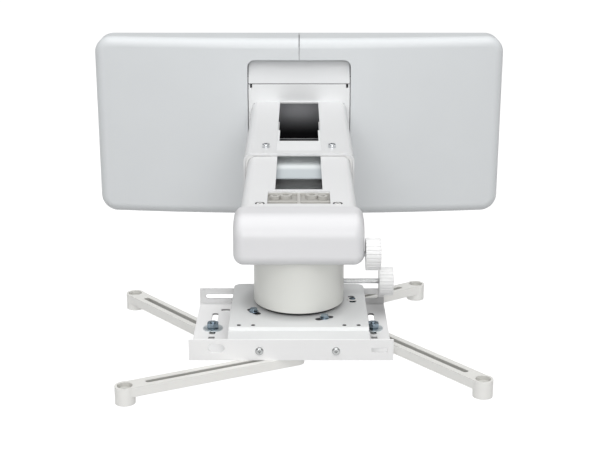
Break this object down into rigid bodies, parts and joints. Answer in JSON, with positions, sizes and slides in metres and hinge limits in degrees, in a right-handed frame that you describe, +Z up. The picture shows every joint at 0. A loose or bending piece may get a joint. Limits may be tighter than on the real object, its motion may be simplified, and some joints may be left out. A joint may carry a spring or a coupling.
{
  "type": "projector wall mount",
  "caption": "White telescoping wall mount for a short-throw projector: covered wall plate, sliding arm, tilting neck with adjuster knobs and a tray with slotted legs.",
  "frame": {"origin": "centre of the wall plate's back face, on the wall", "axes": "+Z up, +X to the right seen from the room, +Y into the wall, the arm reaches along -Y"},
  "size_m": [0.508, 0.6427, 0.225],
  "materials": {
    "cover_white": "fine moulded texture",
    "knob_white": "moulded, ribbed",
    "arm_white": "white powder coat",
    "plate_white": "white powder coat",
    "leg_white": "warm white powder coat on a casting",
    "neck_grey": "warm grey powder coat",
    "deck_grey": "pale blue-grey paint",
    "bracket_cast": "as cast",
    "zinc": "bright zinc plate",
    "screw_white": "white paint",
    "steel": "plain turned steel",
    "slide_plastic": "low-friction plastic"
  },
  "bodies": {
    "wall": {"wall_plate": "plate_white", "cover_left": "cover_white", "cover_right": "cover_white", "upper_apron": "arm_white", "arm_base": "arm_white", "base_bolts": "zinc", "rear_sleeve": "arm_white", "cable_bridge": "arm_white", "clamp_screws": "screw_white", "sleeve_pads": "slide_plastic"},
    "arm": {"inner_arm": "arm_white", "arm_pads": "slide_plastic", "cable_deck": "deck_grey", "end_cap": "cover_white", "pivot_bracket": "bracket_cast", "roll_pin": "steel", "bracket_screws": "screw_white"},
    "roll_adjuster": {"roll_knob": "knob_white", "roll_screw": "zinc"},
    "hanger": {"hanger_block": "steel", "pitch_pins": "steel"},
    "neck": {"neck_cover": "neck_grey", "neck_yoke": "steel", "swivel_ring": "slide_plastic", "clamp_disc": "steel", "spindle_nut": "zinc", "swivel_bolts": "zinc"},
    "yaw_adjuster": {"yaw_knob": "knob_white", "yaw_screw": "zinc"},
    "sled": {"sled": "plate_white", "yaw_nut": "steel", "rear_guide_screws": "zinc"},
    "tray": {"tray": "plate_white", "front_screws": "zinc"},
    "holder_left_front": {"clamp_bolt_left_front": "zinc", "clamp_nut_left_front": "zinc"},
    "leg_left_front": {"leg_left_front": "leg_white"},
    "clamp_right_front": {"clamp_nut_right_front": "zinc"},
    "holder_right_front": {"clamp_bolt_right_front": "zinc"},
    "leg_right_front": {"leg_right_front": "leg_white"},
    "clamp_left_rear": {"clamp_nut_left_rear": "zinc"},
    "holder_left_rear": {"clamp_bolt_left_rear": "zinc"},
    "leg_left_rear": {"leg_left_rear": "leg_white"},
    "holder_right_rear": {"clamp_bolt_right_rear": "zinc", "clamp_nut_right_rear": "zinc"},
    "leg_right_rear": {"leg_right_rear": "leg_white"}
  },
  "joints": [
    {"name": "arm_slide", "type": "slide", "parent": "wall", "child": "arm", "axis": [0, -1, 0], "range_m": [-0.095, 0.09]},
    {"name": "roll", "type": "hinge", "parent": "arm", "child": "hanger", "pos_m": [0, -0.49, 0.012], "axis": [0, 1, 0], "range_deg": [-3, 3]},
    {"name": "roll_knob_turn", "type": "hinge", "parent": "arm", "child": "roll_adjuster", "pos_m": [0, -0.528, -0.0019], "axis": [1, 0, 0], "range_deg": [-263, 263]},
    {"name": "pitch", "type": "hinge", "parent": "hanger", "child": "neck", "pos_m": [0, -0.49, 0.012], "axis": [1, 0, 0], "range_deg": [-3, 3]},
    {"name": "yaw", "type": "hinge", "parent": "neck", "child": "sled", "pos_m": [0, -0.49, -0.0605], "axis": [0, 0, 1], "range_deg": [-6, 6]},
    {"name": "yaw_knob_turn", "type": "hinge", "parent": "neck", "child": "yaw_adjuster", "pos_m": [0, -0.468, -0.0492], "axis": [1, 0, 0], "range_deg": [-830, 830]},
    {"name": "tray_slide", "type": "slide", "parent": "sled", "child": "tray", "axis": [1, 0, 0], "range_m": [-0.0138, 0.0155]},
    {"name": "leg_swing_left_front", "type": "hinge", "parent": "tray", "child": "holder_left_front", "pos_m": [-0.01, -0.5705, -0.0805], "axis": [0, 0, 1], "range_deg": [-12, 12]},
    {"name": "leg_slide_left_front", "type": "slide", "parent": "holder_left_front", "child": "leg_left_front", "axis": [-0.9033, -0.4289, 0], "range_m": [-0.03, 0.0025]},
    {"name": "clamp_slide_right_front", "type": "slide", "parent": "tray", "child": "clamp_right_front", "axis": [0, 1, 0], "range_m": [-0.01, 0.015]},
    {"name": "leg_swing_right_front", "type": "hinge", "parent": "clamp_right_front", "child": "holder_right_front", "pos_m": [0.0679, -0.515, -0.0805], "axis": [0, 0, 1], "range_deg": [-12, 12]},
    {"name": "leg_slide_right_front", "type": "slide", "parent": "holder_right_front", "child": "leg_right_front", "axis": [0.6327, -0.7744, 0], "range_m": [-0.01, 0.013]},
    {"name": "clamp_slide_left_rear", "type": "slide", "parent": "tray", "child": "clamp_left_rear", "axis": [0, 1, 0], "range_m": [-0.01, 0.015]},
    {"name": "leg_swing_left_rear", "type": "hinge", "parent": "clamp_left_rear", "child": "holder_left_rear", "pos_m": [-0.0786, -0.515, -0.0805], "axis": [0, 0, 1], "range_deg": [-12, 12]},
    {"name": "leg_slide_left_rear", "type": "slide", "parent": "holder_left_rear", "child": "leg_left_rear", "axis": [-0.6468, 0.7627, 0], "range_m": [-0.015, 0.02]},
    {"name": "leg_swing_right_rear", "type": "hinge", "parent": "tray", "child": "holder_right_rear", "pos_m": [0, -0.468, -0.0805], "axis": [0, 0, 1], "range_deg": [-10, 12]},
    {"name": "leg_slide_right_rear", "type": "slide", "parent": "holder_right_rear", "child": "leg_right_rear", "axis": [0.8339, 0.5519, 0], "range_m": [-0.02, 0.009]}
  ],
  "couplings": [
    {"joint": "roll_knob_turn", "follows": "roll", "ratio": 87.336},
    {"joint": "yaw_knob_turn", "follows": "yaw", "ratio": 138.23}
  ]
}
